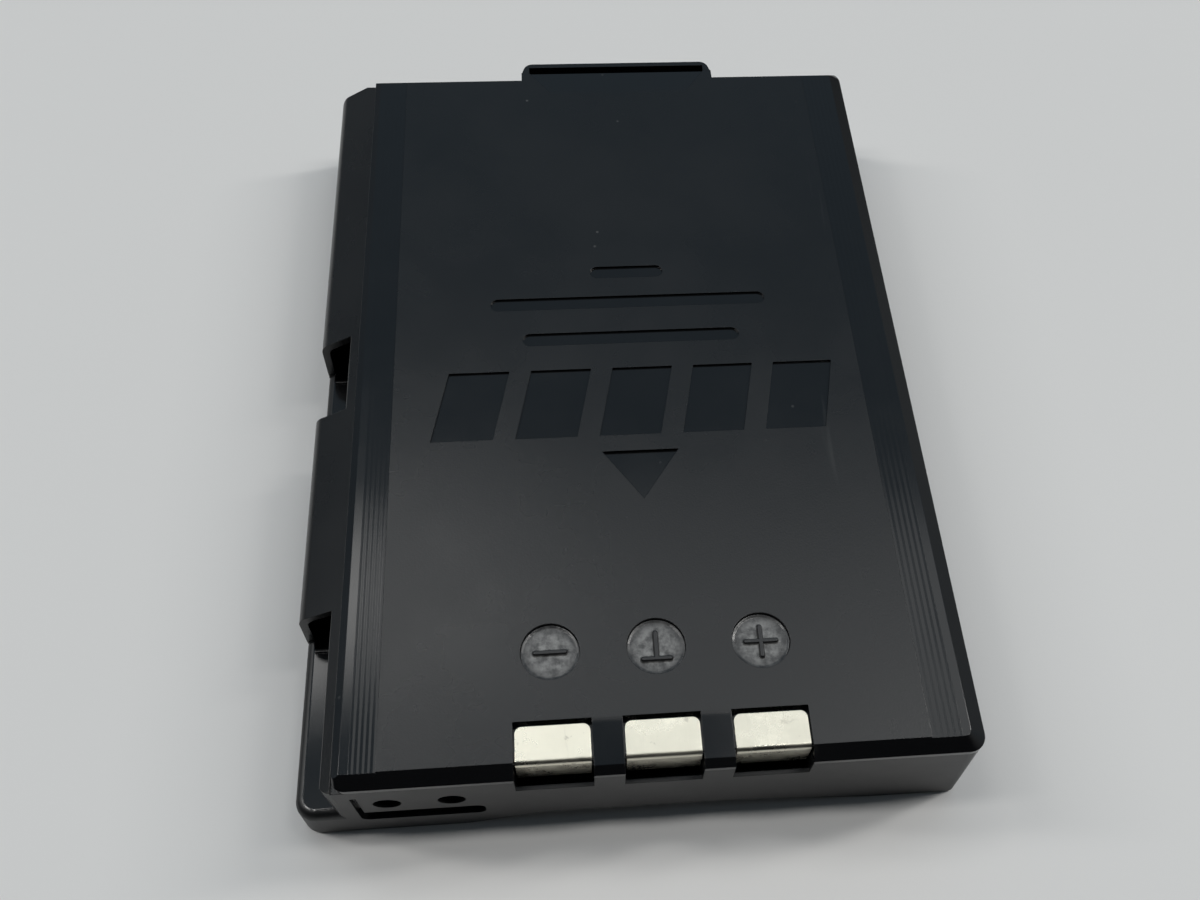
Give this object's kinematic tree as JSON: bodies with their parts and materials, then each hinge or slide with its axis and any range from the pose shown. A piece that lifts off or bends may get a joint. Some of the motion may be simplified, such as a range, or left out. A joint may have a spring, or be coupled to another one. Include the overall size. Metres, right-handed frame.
{
  "type": "camera battery",
  "caption": "Slim black rechargeable battery pack for a compact camera, with a keyed side rail, bent strip contacts at one end and a fingernail lip at the other.",
  "frame": {"origin": "bottom centre of the bounding box, with the battery lying on its underside", "axes": "+Z out of the marked face, -Y out of the contact end, +X to the plain side and -X to the side with the guide rail"},
  "size_m": [0.0394, 0.056, 0.0087],
  "materials": {
    "tray_plastic": "fine moulded texture, glossy on the ledge",
    "cover_plastic": "fine spark-eroded texture, glossy bevel and bands",
    "contact_metal": "nickel-plated, lightly scuffed",
    "can_metal": "drawn, satin",
    "terminal_metal": "nickel-plated",
    "gasket_plastic": "plain moulded",
    "card_fibre": "pressed fibre card",
    "fuse_case": "epoxy coated",
    "nickel_strip": "rolled strip",
    "board_laminate": "solder-resist coated",
    "chip_resin": "moulded resin",
    "resistor_body": "glazed",
    "capacitor_body": "fired",
    "sensor_body": "glazed",
    "tape_film": "adhesive film",
    "foam_strip": "closed-cell foam"
  },
  "bodies": {
    "root": {"case_tray": "tray_plastic", "case_cover": "cover_plastic", "contact_negative": "contact_metal", "contact_sense": "contact_metal", "contact_positive": "contact_metal", "cell_can": "can_metal", "cell_terminal": "terminal_metal", "terminal_gasket": "gasket_plastic", "insulating_card": "card_fibre", "fuse_link": "fuse_case", "negative_tab": "nickel_strip", "positive_tab": "nickel_strip", "circuit_board": "board_laminate", "switch_chip": "chip_resin", "protection_chip": "chip_resin", "chip_resistors": "resistor_body", "chip_capacitors": "capacitor_body", "thermistor": "sensor_body", "floor_tape": "tape_film", "cover_tape": "tape_film", "end_foam": "foam_strip"}
  },
  "joints": []
}
